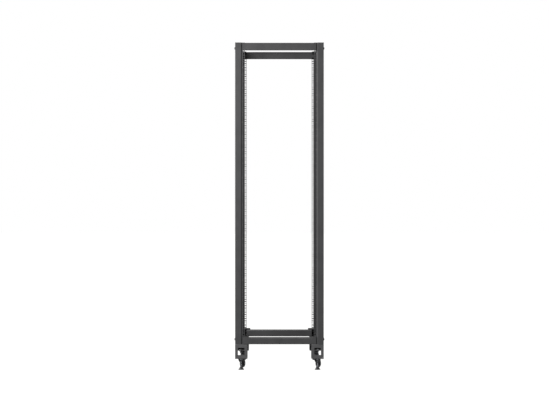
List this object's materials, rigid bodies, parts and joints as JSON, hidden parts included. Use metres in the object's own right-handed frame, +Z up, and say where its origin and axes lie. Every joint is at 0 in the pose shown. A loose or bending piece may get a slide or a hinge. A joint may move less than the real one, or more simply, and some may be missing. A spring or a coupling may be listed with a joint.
{
  "type": "open frame server rack",
  "caption": "Open four-post 19-inch equipment rack of bolted black sheet steel, standing on box brackets with levelling feet and swivel castors.",
  "frame": {"origin": "on the floor, in the middle of the rack's footprint", "axes": "+X to the right seen from the front, front towards -Y, +Z up"},
  "size_m": [0.5848, 0.8, 2.127],
  "materials": {
    "powder_coat": "fine-textured satin black powder coat",
    "black_plastic": "moulded, matt",
    "pad_plastic": "moulded, matt",
    "black_screws": "black oxide",
    "castor_steel": "black lacquered pressed steel",
    "zinc": "zinc plated",
    "wheel_nylon": "moulded nylon",
    "wheel_rubber": "moulded rubber"
  },
  "bodies": {
    "frame": {"front_left_post": "powder_coat", "front_right_post": "powder_coat", "rear_left_post": "powder_coat", "rear_right_post": "powder_coat", "front_left_cap": "black_plastic", "front_right_cap": "black_plastic", "rear_left_cap": "black_plastic", "rear_right_cap": "black_plastic", "front_top_beam": "powder_coat", "rear_top_beam": "powder_coat", "front_bottom_beam": "powder_coat", "rear_bottom_beam": "powder_coat", "left_top_rail": "powder_coat", "right_top_rail": "powder_coat", "left_bottom_rail": "powder_coat", "right_bottom_rail": "powder_coat", "front_left_bracket": "powder_coat", "front_right_bracket": "powder_coat", "rear_left_bracket": "powder_coat", "rear_right_bracket": "powder_coat", "front_left_castor_plate": "castor_steel", "front_right_castor_plate": "castor_steel", "rear_left_castor_plate": "castor_steel", "rear_right_castor_plate": "castor_steel", "kingpins": "zinc", "foot_lock_nuts": "zinc", "foot_weld_nuts": "powder_coat", "rail_bolts": "black_screws", "rail_nuts": "zinc", "beam_bolts": "black_screws", "beam_nuts": "zinc", "bracket_bolts": "black_screws", "bracket_nuts": "zinc", "castor_bolts": "zinc", "castor_nuts": "zinc"},
    "front_left_castor": {"front_left_fork": "castor_steel", "front_left_axle": "zinc"},
    "front_left_wheel": {"front_left_hub": "wheel_nylon", "front_left_tyre": "wheel_rubber"},
    "front_left_foot": {"front_left_stud": "zinc", "front_left_pad": "pad_plastic"},
    "front_right_castor": {"front_right_fork": "castor_steel", "front_right_axle": "zinc"},
    "front_right_wheel": {"front_right_hub": "wheel_nylon", "front_right_tyre": "wheel_rubber"},
    "front_right_foot": {"front_right_stud": "zinc", "front_right_pad": "pad_plastic"},
    "rear_left_castor": {"rear_left_fork": "castor_steel", "rear_left_axle": "zinc"},
    "rear_left_wheel": {"rear_left_hub": "wheel_nylon", "rear_left_tyre": "wheel_rubber"},
    "rear_left_foot": {"rear_left_stud": "zinc", "rear_left_pad": "pad_plastic"},
    "rear_right_castor": {"rear_right_fork": "castor_steel", "rear_right_axle": "zinc"},
    "rear_right_wheel": {"rear_right_hub": "wheel_nylon", "rear_right_tyre": "wheel_rubber"},
    "rear_right_foot": {"rear_right_stud": "zinc", "rear_right_pad": "pad_plastic"}
  },
  "joints": [
    {"name": "front_left_swivel", "type": "hinge", "parent": "frame", "child": "front_left_castor", "pos_m": [-0.24825, -0.295, 0.0665], "axis": [0, 0, 1], "continuous": true},
    {"name": "front_left_roll", "type": "hinge", "parent": "front_left_castor", "child": "front_left_wheel", "pos_m": [-0.24121, -0.28176, 0.033], "axis": [-0.8829, 0.4695, 0], "continuous": true},
    {"name": "front_left_level", "type": "slide", "parent": "frame", "child": "front_left_foot", "axis": [0, 0, 1], "range_m": [-0.025, 0.025]},
    {"name": "front_right_swivel", "type": "hinge", "parent": "frame", "child": "front_right_castor", "pos_m": [0.24825, -0.295, 0.0665], "axis": [0, 0, 1], "continuous": true},
    {"name": "front_right_roll", "type": "hinge", "parent": "front_right_castor", "child": "front_right_wheel", "pos_m": [0.25529, -0.28176, 0.033], "axis": [-0.8829, 0.4695, 0], "continuous": true},
    {"name": "front_right_level", "type": "slide", "parent": "frame", "child": "front_right_foot", "axis": [0, 0, 1], "range_m": [-0.025, 0.025]},
    {"name": "rear_left_swivel", "type": "hinge", "parent": "frame", "child": "rear_left_castor", "pos_m": [-0.24825, 0.295, 0.0665], "axis": [0, 0, 1], "continuous": true},
    {"name": "rear_left_roll", "type": "hinge", "parent": "rear_left_castor", "child": "rear_left_wheel", "pos_m": [-0.24121, 0.30824, 0.033], "axis": [-0.8829, 0.4695, 0], "continuous": true},
    {"name": "rear_left_level", "type": "slide", "parent": "frame", "child": "rear_left_foot", "axis": [0, 0, 1], "range_m": [-0.025, 0.025]},
    {"name": "rear_right_swivel", "type": "hinge", "parent": "frame", "child": "rear_right_castor", "pos_m": [0.24825, 0.295, 0.0665], "axis": [0, 0, 1], "continuous": true},
    {"name": "rear_right_roll", "type": "hinge", "parent": "rear_right_castor", "child": "rear_right_wheel", "pos_m": [0.25529, 0.30824, 0.033], "axis": [-0.8829, 0.4695, 0], "continuous": true},
    {"name": "rear_right_level", "type": "slide", "parent": "frame", "child": "rear_right_foot", "axis": [0, 0, 1], "range_m": [-0.025, 0.025]}
  ]
}
